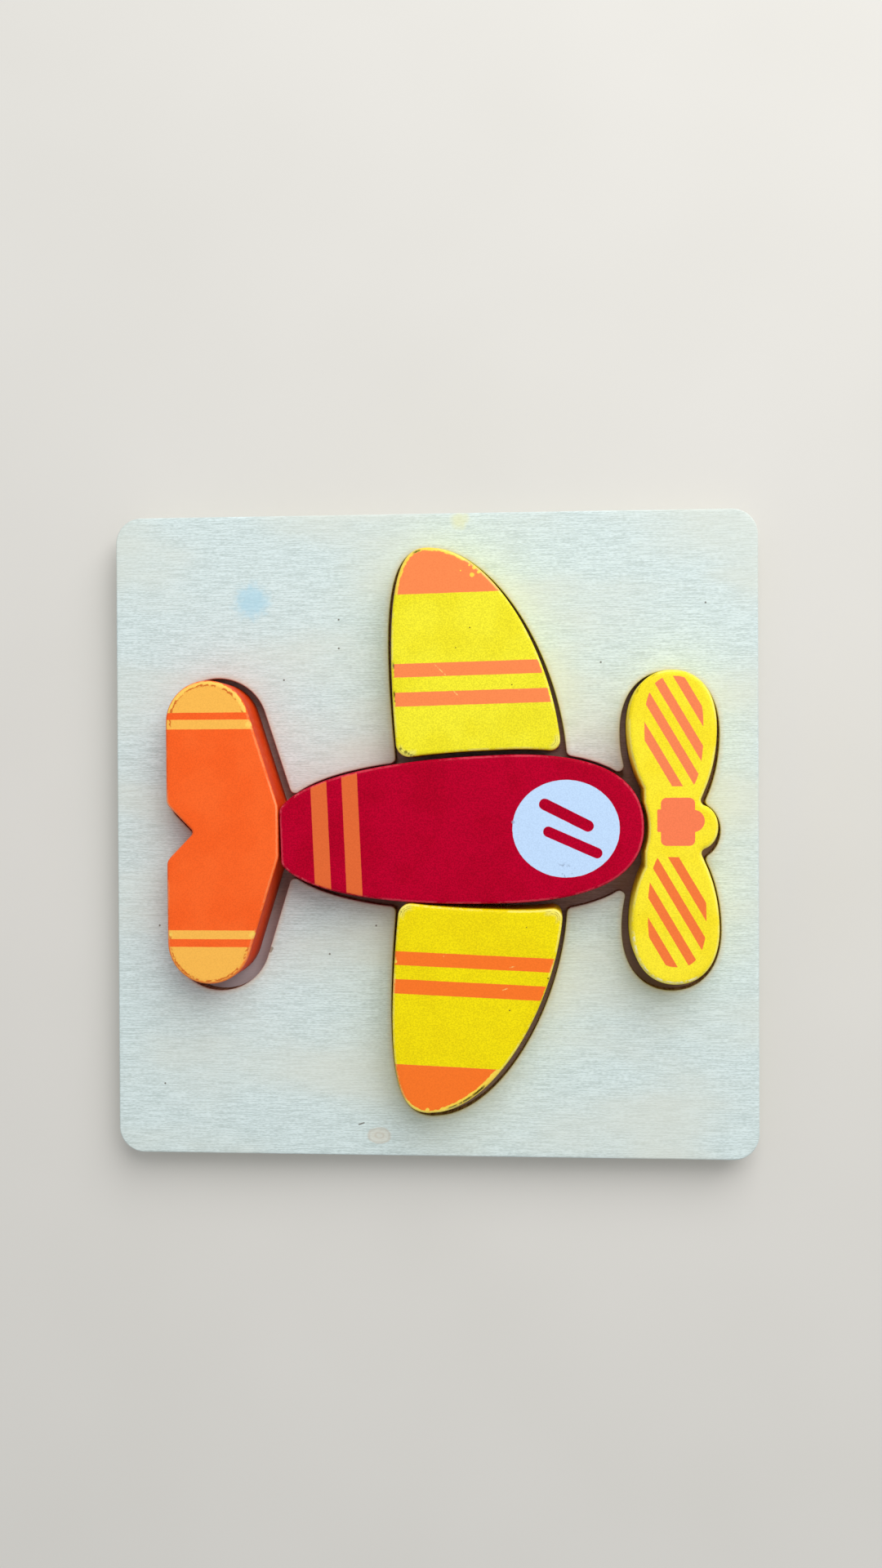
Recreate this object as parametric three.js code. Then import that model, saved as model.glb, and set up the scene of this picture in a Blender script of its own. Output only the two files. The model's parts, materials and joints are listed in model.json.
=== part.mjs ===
// Wooden aeroplane tray puzzle: a plywood tray with an aeroplane-shaped recess, and five thick painted
// pieces that lie loose in it. Millimetres, +Z up, the nose towards +X, origin under the tray's middle.
import * as THREE from 'three';

// Tray
const BASE_THICKNESS = 3;
const FRAME_THICKNESS = 5;
const TRAY_CORNER_RADIUS = 6;
const TRAY_EDGE_ROUND = 0.4;
// Wood left between the recess and each edge of the tray
const REAR_RIM = 13;
const FRONT_RIM = 8.75;
const LEFT_RIM = 8.25;
const RIGHT_RIM = 9.45;
// Play round the fuselage and the tailplane, round the wings, and round the propeller
const BODY_CLEARANCE = 1.9;
const WING_CLEARANCE = 1.25;
const PROPELLER_CLEARANCE = 1.5;
// The recess is sawn closer to the fuselage on its left, between the tailplane and the wing
const LEFT_REAR_CLEARANCE = 1;
// The arms of the recess for the left wing and the tailplane are sawn a little nearer to the nose
const LEFT_ARM_FORWARD = 0.25;
const TAIL_ARM_FORWARD = 0.2;
// The recess is sawn a little out of square with the tray
const RECESS_TURN = THREE.MathUtils.degToRad(0.4);
// Rounding of the wood where two arms of the recess meet
const WEB_ROUND = 1.3;

// All pieces
const PIECE_THICKNESS = 15;
const PIECE_EDGE_ROUND = 0.7;
// Gap along the aeroplane's length between the tailplane, the fuselage and the propeller
const END_GAP = 0.5;
// Gap between the fuselage's side and the root of each wing
const LEFT_ROOT_GAP = 1.5;
const RIGHT_ROOT_GAP = 1.4;

// Fuselage
const FUSELAGE_LENGTH = 82.65;
const FUSELAGE_WIDTH = 33.6;
const FUSELAGE_END_WIDTH = 12.2;
const FUSELAGE_END_ROUND = 1.8;
const NOSE_LENGTH = 31.2;
// How full each curve is, as a share of the span that its handle runs along
const NOSE_TIP_FULLNESS = 0.74;
const NOSE_SIDE_FULLNESS = 0.59;
const REAR_SIDE_FULLNESS = 0.93;

// Wings: the reaches ahead of the tip and behind it give the root chord
const WING_REACH = 46.6;
const WING_TIP_BEHIND_NOSE = 49.25;
const LEADING_REACH = 30.2;
const TRAILING_REACH = 7.2;
const LEADING_ROUND = 2.2;
const TRAILING_ROUND = 3;
const LEFT_ROOT_OPENING = THREE.MathUtils.degToRad(2);
const RIGHT_ROOT_OPENING = THREE.MathUtils.degToRad(0.7);
const LEADING_ROOT_FULLNESS = 0.48;
const LEADING_TIP_FULLNESS = 0.47;
const LEADING_LEAN = 0.07;
const TRAILING_ROOT_FULLNESS = 0.94;
const TRAILING_TIP_FULLNESS = 0.76;
const TRAILING_LEAN = 0.09;

// Tailplane
const TAIL_CHORD = 25.85;
const TAIL_SPAN = 69.6;
const TAIL_TIP_RADIUS = 9.65;
const TAIL_FRONT_WIDTH = 11.8;
const TAIL_FRONT_ROUND = 5;
const NOTCH_DEPTH = 6.35;
const NOTCH_WIDTH = 13;
const NOTCH_TIP_ROUND = 1;
const NOTCH_MOUTH_ROUND = 2.5;

// Propeller: distances out from its axis, and forward or back from the line of the blades
const BLADE_REACH = 35.4;
const BLADE_WIDTH = 19.8;
const BLADE_WIDEST_OUT = 22.7;
const BLADE_TIP_FULLNESS = 0.56;
const BLADE_SIDE_FULLNESS = 0.67;
const NECK_FRONT_REACH = 6.7;
const NECK_REAR_REACH = 6;
const NECK_OUT = 7.6;
const NECK_CONTROL_OUT = 14.6;
const NECK_ROUND = 1.2;
const HUB_WIDTH = 10;
const HUB_FRONT_REACH = 9.9;
const HUB_NOSE_LENGTH = 4;
const HUB_REAR_REACH = 6.6;
const HUB_DISH_BACK = 5.65;
const HUB_SHOULDER_ROUND = 0.8;

// How each piece lies in its loose recess, in shares of its play: along the aeroplane, across it,
// and the sideways travel of its ends as it turns
const LIE = {
  tailplane: { along: -0.2, across: 0.49, turned: -0.05 },
  fuselage: { along: -0.22, across: 0.44, turned: 0.58 },
  left_wing: { along: 0.52, across: 0.02, turned: -0.29 },
  right_wing: { along: 0.02, across: 1.13, turned: -0.28 },
  propeller: { along: 0.03, across: 0.77, turned: 0.1 },
};

// Fineness of the facets
const CURVE_STEPS = 14;
const ROUND_STEP = THREE.MathUtils.degToRad(18);
const EDGE_STEPS = 3;
const SHORTEST_RUN = 0.15;

// Places that follow from the sizes
const halfBody = FUSELAGE_WIDTH / 2;
const rootOut = halfBody + Math.max(LEFT_ROOT_GAP, RIGHT_ROOT_GAP);
const tipOut = rootOut + WING_REACH;
const propellerFront = Math.max(HUB_FRONT_REACH, BLADE_WIDTH / 2);
const planeLength = TAIL_CHORD + FUSELAGE_LENGTH + HUB_DISH_BACK + propellerFront + 2 * END_GAP;
const rearReach = REAR_RIM + BODY_CLEARANCE - TAIL_ARM_FORWARD;
const trayLength = rearReach + planeLength + PROPELLER_CLEARANCE + FRONT_RIM;
const leftReach = tipOut + WING_CLEARANCE + LEFT_RIM;
const rightReach = tipOut + WING_CLEARANCE + RIGHT_RIM;
const trayWidth = leftReach + rightReach;
const centreLine = (rightReach - leftReach) / 2;
const tailRear = rearReach - trayLength / 2;
const tailFront = tailRear + TAIL_CHORD;
const bodyRear = tailFront + END_GAP;
const noseTip = bodyRear + FUSELAGE_LENGTH;
const propellerAxis = noseTip + END_GAP + HUB_DISH_BACK;
const wingTip = noseTip - WING_TIP_BEHIND_NOSE;

// A point of the aeroplane's own plan, where it comes in the tray
function inTray(point) {
  return point.clone().rotateAround(at(0, 0), RECESS_TURN).add(at(0, centreLine));
}

// Paths: lists of points that run anticlockwise round a piece, so that outwards is to the right
const at = (x, y) => new THREE.Vector2(x, y);
const mirrored = (path) => path.map((point) => at(point.x, -point.y)).reverse();
const heading = (path, i) => path[i + 1].clone().sub(path[i]).normalize();
const rightOf = (direction) => at(direction.y, -direction.x);
const bezier = (...points) => new THREE.CubicBezierCurve(...points).getPoints(CURVE_STEPS);
const bend = (...points) => new THREE.QuadraticBezierCurve(...points).getPoints(CURVE_STEPS / 2);
const arc = (x, y, xRadius, yRadius, start, end) =>
  new THREE.EllipseCurve(x, y, xRadius, yRadius, start, end).getPoints(CURVE_STEPS);

// One path of several that follow on, without the points that they share
function chained(...paths) {
  const points = paths.flat();
  return points.filter((point, i) => i === 0 || point.distanceTo(points[i - 1]) > SHORTEST_RUN);
}

// The path moved sideways by a distance, to the right where it is positive
function offset(path, distance) {
  const lastRun = path.length - 2;
  return path.map((point, i) => {
    const before = rightOf(heading(path, Math.max(i - 1, 0)));
    const after = rightOf(heading(path, Math.min(i, lastRun)));
    const middle = before.add(after).normalize();
    return point.clone().addScaledVector(middle, distance / middle.dot(after));
  });
}

// The path with a straight run added at both ends, so that neighbouring sides are sure to cross
function extended(path, run) {
  const start = path[0].clone().addScaledVector(heading(path, 0), -run);
  const end = path[path.length - 1].clone().addScaledVector(heading(path, path.length - 2), run);
  return [start, ...path, end];
}

// Where path a turns into path b, to the left or to the right as the sign of turn says: of several such
// places, the one nearest to the end of a or the start of b
function crossing(a, b, turn) {
  const ends = [a[a.length - 2], b[1]];
  let best = null;
  for (let i = 0; i < a.length - 1; i += 1) {
    const u = a[i + 1].clone().sub(a[i]);
    for (let j = 0; j < b.length - 1; j += 1) {
      const v = b[j + 1].clone().sub(b[j]);
      const gap = b[j].clone().sub(a[i]);
      const area = u.cross(v);
      const s = gap.cross(v) / area;
      const t = gap.cross(u) / area;
      if (area * turn > 0 && s >= 0 && s <= 1 && t >= 0 && t <= 1) {
        const point = a[i].clone().addScaledVector(u, s);
        const reach = Math.min(...ends.map((end) => end.distanceTo(point)));
        if (best === null || reach < best.reach) best = { i, j, s, t, point, reach };
      }
    }
  }
  return best;
}

// The rounded corner from path a into path b, and where it cuts them. A hollow corner's radius is negative.
function corner(a, b, radius) {
  const centre = crossing(offset(a, -radius), offset(b, -radius), radius);
  const from = a[centre.i].clone().lerp(a[centre.i + 1], centre.s).sub(centre.point);
  const to = b[centre.j].clone().lerp(b[centre.j + 1], centre.t).sub(centre.point);
  const sweep = Math.atan2(from.cross(to), from.dot(to));
  const steps = Math.max(2, Math.ceil(Math.abs(sweep) / ROUND_STEP));
  const points = [];
  for (let k = 0; k <= steps; k += 1) {
    points.push(from.clone().rotateAround(at(0, 0), (sweep * k) / steps).add(centre.point));
  }
  return { lastOfA: centre.i, firstOfB: centre.j + 1, points };
}

// A closed outline of sides in order, each grown outwards by its play, with a rounded corner after each
function outline(sides) {
  const paths = sides.map((side) => extended(offset(side.path, side.play ?? 0), rootOut));
  const corners = sides.map((side, i) => corner(paths[i], paths[(i + 1) % paths.length], side.round));
  const points = paths.flatMap((path, i) => {
    const before = corners[(i + corners.length - 1) % corners.length];
    return [...path.slice(before.firstOfB, corners[i].lastOfA + 1), ...corners[i].points];
  });
  return points.filter((point, i) => point.distanceTo(points.at(i - 1)) > SHORTEST_RUN);
}

// Fuselage: one side, from the nose tip back to the flat rear end
const widestStation = noseTip - NOSE_LENGTH;
const rearLength = FUSELAGE_LENGTH - NOSE_LENGTH;
const rearCorner = at(bodyRear, FUSELAGE_END_WIDTH / 2);
const noseSide = bezier(
  at(noseTip, 0),
  at(noseTip, NOSE_TIP_FULLNESS * halfBody),
  at(widestStation + NOSE_SIDE_FULLNESS * NOSE_LENGTH, halfBody),
  at(widestStation, halfBody),
);
const rearSide = bezier(
  at(widestStation, halfBody),
  at(widestStation - REAR_SIDE_FULLNESS * rearLength, halfBody),
  rearCorner,
  rearCorner,
);
const bodySide = chained(noseSide, rearSide);
const fuselage = outline([
  { path: chained(mirrored(bodySide), bodySide), round: FUSELAGE_END_ROUND },
  { path: [rearCorner, at(bodyRear, -FUSELAGE_END_WIDTH / 2)], round: FUSELAGE_END_ROUND },
]);

// Wings: the left arm runs from the leading root round the tip to the trailing root. The root edge follows
// the fuselage at the root gap, and opens a little towards the leading edge.
const leadingRoot = wingTip + LEADING_REACH;
const trailingRoot = wingTip - TRAILING_REACH;
const leadingPull = LEADING_ROOT_FULLNESS * WING_REACH;
const trailingPull = TRAILING_ROOT_FULLNESS * WING_REACH;
const leadingEdge = bezier(
  at(leadingRoot, rootOut),
  at(leadingRoot - LEADING_LEAN * leadingPull, rootOut + leadingPull),
  at(wingTip + LEADING_TIP_FULLNESS * LEADING_REACH, tipOut),
  at(wingTip, tipOut),
);
const trailingEdge = bezier(
  at(wingTip, tipOut),
  at(wingTip - TRAILING_TIP_FULLNESS * TRAILING_REACH, tipOut),
  at(trailingRoot - TRAILING_LEAN * trailingPull, rootOut + trailingPull),
  at(trailingRoot, rootOut),
);
const wingArm = chained(leadingEdge, trailingEdge);
const rootPivot = at(trailingRoot, halfBody);
function wing(rootGap, rootOpening) {
  const rootEdge = offset(bodySide, rootGap).map((point) => point.rotateAround(rootPivot, rootOpening));
  return outline([
    { path: wingArm, round: TRAILING_ROUND },
    { path: rootEdge.reverse(), round: LEADING_ROUND },
  ]);
}
const leftWing = wing(LEFT_ROOT_GAP, LEFT_ROOT_OPENING);
const rightWing = mirrored(wing(RIGHT_ROOT_GAP, RIGHT_ROOT_OPENING));

// Tailplane: the flank runs from the front corner round the tip to the mouth of the notch
const tailTip = at(tailRear + TAIL_TIP_RADIUS, TAIL_SPAN / 2 - TAIL_TIP_RADIUS);
const tailCorner = at(tailFront, TAIL_FRONT_WIDTH / 2);
const cornerFromTip = tailCorner.clone().sub(tailTip);
const cornerAngle = Math.atan2(cornerFromTip.y, cornerFromTip.x);
const tangentAngle = cornerAngle + Math.acos(TAIL_TIP_RADIUS / cornerFromTip.length());
const notchMouth = at(tailRear, NOTCH_WIDTH / 2);
const tailFlank = chained(
  [tailCorner],
  arc(tailTip.x, tailTip.y, TAIL_TIP_RADIUS, TAIL_TIP_RADIUS, tangentAngle, Math.PI),
  [notchMouth],
);
const notchSide = [notchMouth, at(tailRear + NOTCH_DEPTH, 0)];
const tailplane = outline([
  { path: [at(tailCorner.x, -tailCorner.y), tailCorner], round: TAIL_FRONT_ROUND },
  { path: tailFlank, round: NOTCH_MOUTH_ROUND },
  { path: notchSide, round: -NOTCH_TIP_ROUND },
  { path: mirrored(notchSide), round: NOTCH_MOUTH_ROUND },
  { path: mirrored(tailFlank), round: TAIL_FRONT_ROUND },
]);

// Propeller: the upper blade runs from its front neck round the tip to its rear neck. The hub has a round
// front, and a dish in its rear edge that the fuselage's nose fits.
const halfBlade = BLADE_WIDTH / 2;
const bladeSide = (neckReach) =>
  chained(
    bend(at(neckReach, NECK_OUT), at(halfBlade, NECK_CONTROL_OUT), at(halfBlade, BLADE_WIDEST_OUT)),
    bezier(
      at(halfBlade, BLADE_WIDEST_OUT),
      at(halfBlade, BLADE_WIDEST_OUT + BLADE_SIDE_FULLNESS * (BLADE_REACH - BLADE_WIDEST_OUT)),
      at(BLADE_TIP_FULLNESS * halfBlade, BLADE_REACH),
      at(0, BLADE_REACH),
    ),
  );
const bladeRear = bladeSide(NECK_REAR_REACH).map((point) => at(-point.x, point.y)).reverse();
const blade = chained(bladeSide(NECK_FRONT_REACH), bladeRear).map((point) =>
  at(propellerAxis + point.x, point.y),
);
const hubFront = chained(
  [at(propellerAxis, -HUB_WIDTH / 2)],
  arc(
    propellerAxis + HUB_FRONT_REACH - HUB_NOSE_LENGTH,
    0,
    HUB_NOSE_LENGTH,
    HUB_WIDTH / 2,
    -Math.PI / 2,
    Math.PI / 2,
  ),
  [at(propellerAxis, HUB_WIDTH / 2)],
);
const hubRear = propellerAxis - HUB_REAR_REACH;
const hubShoulder = [at(hubRear, NECK_OUT), at(hubRear, HUB_WIDTH / 2)];
const hubDish = offset(chained(mirrored(noseSide), noseSide), END_GAP).reverse();
const propeller = outline([
  { path: blade, round: -NECK_ROUND },
  { path: hubShoulder, round: HUB_SHOULDER_ROUND },
  { path: hubDish, round: HUB_SHOULDER_ROUND },
  { path: mirrored(hubShoulder), round: -NECK_ROUND },
  { path: mirrored(blade), round: -NECK_ROUND },
  { path: hubFront, round: -NECK_ROUND },
]);

// Recess: one opening for the whole aeroplane, wider than the pieces by their play
const round = -WEB_ROUND;
const mouthRound = NOTCH_MOUTH_ROUND + BODY_CLEARANCE;
const rightBody = { path: mirrored(bodySide), play: BODY_CLEARANCE, round };
const movedForward = (path, distance) => path.map((point) => at(point.x + distance, point.y));
const tailArm = movedForward(tailFlank, TAIL_ARM_FORWARD);
const notchArm = movedForward(notchSide, TAIL_ARM_FORWARD);
const recess = outline([
  { path: movedForward(wingArm, LEFT_ARM_FORWARD), play: WING_CLEARANCE, round },
  { path: bodySide, play: LEFT_REAR_CLEARANCE, round },
  { path: tailArm, play: BODY_CLEARANCE, round: mouthRound },
  { path: notchArm, play: BODY_CLEARANCE, round },
  { path: mirrored(notchArm), play: BODY_CLEARANCE, round: mouthRound },
  { path: mirrored(tailArm), play: BODY_CLEARANCE, round },
  rightBody,
  { path: mirrored(wingArm), play: WING_CLEARANCE, round },
  rightBody,
  { path: mirrored(blade), play: PROPELLER_CLEARANCE, round },
  { path: hubFront, play: PROPELLER_CLEARANCE, round },
  { path: blade, play: PROPELLER_CLEARANCE, round },
  { path: bodySide, play: BODY_CLEARANCE, round },
]).map((point) => inTray(point));

// Tray edge
const trayCorners = [
  at(trayLength / 2, -trayWidth / 2),
  at(trayLength / 2, trayWidth / 2),
  at(-trayLength / 2, trayWidth / 2),
  at(-trayLength / 2, -trayWidth / 2),
];
const tray = outline(
  trayCorners.map((from, i) => ({
    path: [from, trayCorners[(i + 1) % trayCorners.length]],
    round: TRAY_CORNER_RADIUS,
  })),
);

// A board of one thickness with rounded edges, standing on z = 0
function slab(edge, thickness, round, hole) {
  const shape = new THREE.Shape(edge);
  if (hole) shape.holes.push(new THREE.Path(hole));
  const geometry = new THREE.ExtrudeGeometry(shape, {
    depth: thickness - 2 * round,
    bevelThickness: round,
    bevelSize: round,
    bevelOffset: -round,
    bevelSegments: EDGE_STEPS,
  });
  return geometry.translate(0, 0, round);
}

const puzzle = new THREE.Group();

function add(name, geometry, color, roughness) {
  const mesh = new THREE.Mesh(geometry, new THREE.MeshStandardMaterial({ color, roughness, metalness: 0 }));
  mesh.name = name;
  puzzle.add(mesh);
  return mesh;
}

// A painted piece on the floor of the recess, moved and turned in its play as it lies
function addPiece(name, edge, play, color) {
  const bounds = new THREE.Box2().setFromPoints(edge);
  const middle = bounds.getCenter(at(0, 0));
  const size = bounds.getSize(at(0, 0));
  const centred = edge.map((point) => point.clone().sub(middle));
  const mesh = add(name, slab(centred, PIECE_THICKNESS, PIECE_EDGE_ROUND), color, 0.45);
  const { along, across, turned } = LIE[name];
  const place = inTray(middle.add(at(along * play, across * play)));
  mesh.position.set(place.x, place.y, BASE_THICKNESS);
  mesh.rotation.z = RECESS_TURN + (turned * play) / (Math.max(size.x, size.y) / 2);
}

add('tray_base', slab(tray, BASE_THICKNESS, TRAY_EDGE_ROUND), '#cfc9b4', 0.7);
add('tray_frame', slab(tray, FRAME_THICKNESS, TRAY_EDGE_ROUND, recess), '#d8dccb', 0.65)
  .position.set(0, 0, BASE_THICKNESS);
addPiece('tailplane', tailplane, BODY_CLEARANCE, '#fb6426');
addPiece('fuselage', fuselage, BODY_CLEARANCE, '#b3042a');
addPiece('left_wing', leftWing, WING_CLEARANCE, '#f1e42c');
addPiece('right_wing', rightWing, WING_CLEARANCE, '#ebd80c');
addPiece('propeller', propeller, PROPELLER_CLEARANCE, '#f8e03a');

export default puzzle;
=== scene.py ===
# %% [markdown]
# # A wooden aeroplane puzzle
# The real thing is a square plywood tray with an aeroplane sawn out of its upper sheet. Five thick painted
# pieces lie loose in the recess: fuselage, two wings, tailplane and propeller.
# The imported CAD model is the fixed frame. It gives every piece its place and outline, and this lesson gives
# each one its rounded edges, its paint and its wear. We start from an empty scene and keep the CAD box.

# %% Load the frame
import json
import math
from types import SimpleNamespace

import bmesh
import bpy
import numpy as np
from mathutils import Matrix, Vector
from mathutils.geometry import delaunay_2d_cdt

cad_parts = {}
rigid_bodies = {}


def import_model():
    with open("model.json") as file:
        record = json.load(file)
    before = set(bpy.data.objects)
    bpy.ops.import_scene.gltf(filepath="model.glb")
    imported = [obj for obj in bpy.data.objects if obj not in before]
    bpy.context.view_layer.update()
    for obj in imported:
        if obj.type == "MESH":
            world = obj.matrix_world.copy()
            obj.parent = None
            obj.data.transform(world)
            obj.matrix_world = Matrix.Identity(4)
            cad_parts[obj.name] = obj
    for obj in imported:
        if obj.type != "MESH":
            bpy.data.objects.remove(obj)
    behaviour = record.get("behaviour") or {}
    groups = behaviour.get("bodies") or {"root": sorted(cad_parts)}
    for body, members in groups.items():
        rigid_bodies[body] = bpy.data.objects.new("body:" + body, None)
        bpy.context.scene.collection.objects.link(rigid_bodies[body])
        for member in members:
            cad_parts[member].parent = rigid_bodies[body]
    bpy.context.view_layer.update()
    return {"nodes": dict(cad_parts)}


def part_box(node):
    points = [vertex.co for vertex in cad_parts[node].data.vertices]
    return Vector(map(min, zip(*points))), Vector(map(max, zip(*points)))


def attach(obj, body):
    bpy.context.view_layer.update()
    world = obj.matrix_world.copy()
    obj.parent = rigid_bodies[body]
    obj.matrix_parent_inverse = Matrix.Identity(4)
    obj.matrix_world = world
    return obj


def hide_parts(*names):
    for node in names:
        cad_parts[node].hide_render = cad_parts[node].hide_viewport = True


for leftover in list(bpy.data.objects):
    bpy.data.objects.remove(leftover)

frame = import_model()
MM = 0.001

# %% [markdown]
# ## Outlines from the frame
# A CAD node is a closed solid with flat facets. Its walls stand upright, so a level cut at mid height gives
# the sawn outline of the piece. We could type the outline again, but then the two models could drift apart.
# The cut gives short straight runs, and a smooth line through their corners gives back the sawn curve.

# %% Cut a solid at mid height
LEAST_TURN = math.radians(0.15)


def corners_only(loop):
    """The points of a closed line where it turns, without those that lie on a straight run."""
    before = loop - np.roll(loop, 1, axis=0)
    after = np.roll(loop, -1, axis=0) - loop
    cross = before[:, 0] * after[:, 1] - before[:, 1] * after[:, 0]
    turn = np.arctan2(np.abs(cross), (before * after).sum(axis=1))
    return loop[turn > LEAST_TURN]


def sawn_outlines(node):
    """The closed outlines of a CAD node in millimetres, the longest first, with the wood on their left."""
    mesh = frame["nodes"][node].data
    low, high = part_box(node)
    level = (low.z + high.z) / 2
    mesh.calc_loop_triangles()
    following = {}
    for triangle in mesh.loop_triangles:
        corners = [mesh.vertices[i].co for i in triangle.vertices]
        cuts = []
        for a, b in zip(corners, corners[1:] + corners[:1]):
            if (a.z - level) * (b.z - level) < 0:
                below, above = sorted((a, b), key=lambda corner: corner.z)
                cut = below.lerp(above, (level - below.z) / (above.z - below.z)) / MM
                cuts.append((round(cut.x, 3), round(cut.y, 3)))
        if len(cuts) == 2 and cuts[0] != cuts[1]:
            run = Vector(cuts[1]) - Vector(cuts[0])
            if run.y * triangle.normal.x < run.x * triangle.normal.y:
                cuts.reverse()
            following[cuts[0]] = cuts[1]
    loops = []
    while following:
        start, point = following.popitem()
        loop = [start]
        while point != start:
            loop.append(point)
            point = following.pop(point)
        loops.append(corners_only(np.array(loop)))
    return sorted(loops, key=lambda line: -np.ptp(line[:, 0]))


print("propeller corners:", len(sawn_outlines("propeller")[0]))

# %% [markdown]
# The corners alone would make a faceted board, so a curve is drawn through them. Each corner gets a heading,
# the mean of the runs on both sides of it, in which the longer run counts for more. Each run then becomes a
# cubic that leaves and arrives along these headings. The other helpers move a line into the wood, measure
# how far points are from it, and tell which points lie in the wood.

# %% Smooth a line, move it inwards and measure from it
OUTLINE_SPACING_MM = 0.55


def unit(vectors):
    """Each vector with a length of one."""
    return vectors / np.linalg.norm(vectors, axis=1)[:, None]


def smooth_line(corners, spacing):
    """A closed curve through the corners, with a point about every spacing millimetres."""
    ahead = np.roll(corners, -1, axis=0)
    run = ahead - corners
    weighted = run * np.linalg.norm(run, axis=1)[:, None]
    heading = unit(weighted + np.roll(weighted, 1, axis=0))
    points = []
    for a, b, leave, arrive in zip(corners, ahead, heading, np.roll(heading, -1, axis=0)):
        length = np.linalg.norm(b - a)
        steps = max(2, math.ceil(length / spacing))
        for u in np.arange(steps) / steps:
            near = (2 * u**3 - 3 * u**2 + 1) * a + (u**3 - 2 * u**2 + u) * length * leave
            far = (3 * u**2 - 2 * u**3) * b + (u**3 - u**2) * length * arrive
            points.append(near + far)
    return np.array(points)


def inset(line, distance):
    """The closed line moved into the wood, which is on its left."""
    along = unit(np.roll(line, -1, axis=0) - np.roll(line, 1, axis=0))
    return line + distance * np.stack([-along[:, 1], along[:, 0]], axis=1)


def distance_to(points, lines):
    """How far each point is from the nearest of the closed lines."""
    nearest = np.full(len(points), np.inf)
    for line in lines:
        for start, step in zip(line, np.roll(line, -1, axis=0) - line):
            share = np.clip((points - start) @ step / (step @ step), 0, 1)
            gap = np.linalg.norm(points - start - share[:, None] * step, axis=1)
            nearest = np.minimum(nearest, gap)
    return nearest


def in_wood(points, lines):
    """True for each point that an odd number of outlines goes round."""
    odd = np.zeros(len(points), bool)
    for line in lines:
        for a, b in zip(line, np.roll(line, -1, axis=0)):
            spans = (a[1] > points[:, 1]) != (b[1] > points[:, 1])
            if spans.any():
                cut = a[0] + (points[:, 1] - a[1]) * (b[0] - a[0]) / (b[1] - a[1])
                odd ^= spans & (points[:, 0] < cut)
    return odd


print("propeller curve points:", len(smooth_line(sawn_outlines("propeller")[0], OUTLINE_SPACING_MM)))

# %% [markdown]
# ## A flat sheet for each piece
# Each board starts as a flat sheet of triangles. Close rings of points run along its edge, because the edge
# gets rounded, and a loose grid fills the middle. Every point stores `rim`, its distance from the sawn edge
# in millimetres. The rounding follows it, and later the paint reads it to know where hands wear it off.

# %% Lay a sheet out
ROUNDING_RINGS = (0.0, 0.05, 0.18, 0.38, 0.65, 1.0)
FLAT_RINGS_MM = (1.5, 2.3, 3.2)
RING_TOLERANCE_MM = 0.01
SAME_POINT_MM = 1e-5


def flat_sheet(name, lines, edge_round, grid):
    """A flat mesh inside the outlines, with rings of points at shares of the edge round and a grid."""
    insets = [share * edge_round for share in ROUNDING_RINGS] + list(FLAT_RINGS_MM)
    rows = []
    edges = []
    count = 0
    for line in lines:
        for depth in insets:
            ring = inset(line, depth)
            ring = ring[distance_to(ring, lines) > depth - RING_TOLERANCE_MM]
            ring = ring[in_wood(ring, lines) | (depth == 0)]
            if depth <= edge_round:
                edges += [(count + k, count + (k + 1) % len(ring)) for k in range(len(ring))]
            rows.append(ring)
            count += len(ring)
    low = lines[0].min(axis=0)
    high = lines[0].max(axis=0)
    across, along = np.meshgrid(np.arange(low[0], high[0], grid), np.arange(low[1], high[1], grid))
    field = np.stack([across.ravel(), along.ravel()], axis=1)
    field = field[in_wood(field, lines)]
    rows.append(field[distance_to(field, lines) > FLAT_RINGS_MM[-1] + grid / 2])
    laid = delaunay_2d_cdt([Vector(p) for p in np.vstack(rows)], edges, [], 0, SAME_POINT_MM)
    points = np.array([tuple(p) for p in laid[0]])
    rim = distance_to(points, lines)
    faces = np.array(laid[2])
    reaches_in = (rim[faces] > RING_TOLERANCE_MM).any(axis=1)
    faces = faces[reaches_in & in_wood(points[faces].mean(axis=1), lines)]
    mesh = bpy.data.meshes.new(name)
    mesh.from_pydata([(x * MM, y * MM, 0) for x, y in points], [], faces.tolist())
    for label, distances in (("rim", rim), ("cut", distance_to(points, lines[1:] or lines))):
        stored = mesh.attributes.new(label, "FLOAT", "POINT")
        stored.data.foreach_set("value", distances.astype(np.float32))
    return bpy.data.objects.new(name, mesh)


print("rings along each edge:", len(ROUNDING_RINGS) + len(FLAT_RINGS_MM))

# %% [markdown]
# ## One small class for node maths
# Both the rounding of the boards and the paints are made of nodes. Adding Math nodes by hand hides the sum
# that they stand for, so this class wraps one output socket and lets us write the sum in Python.

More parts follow.
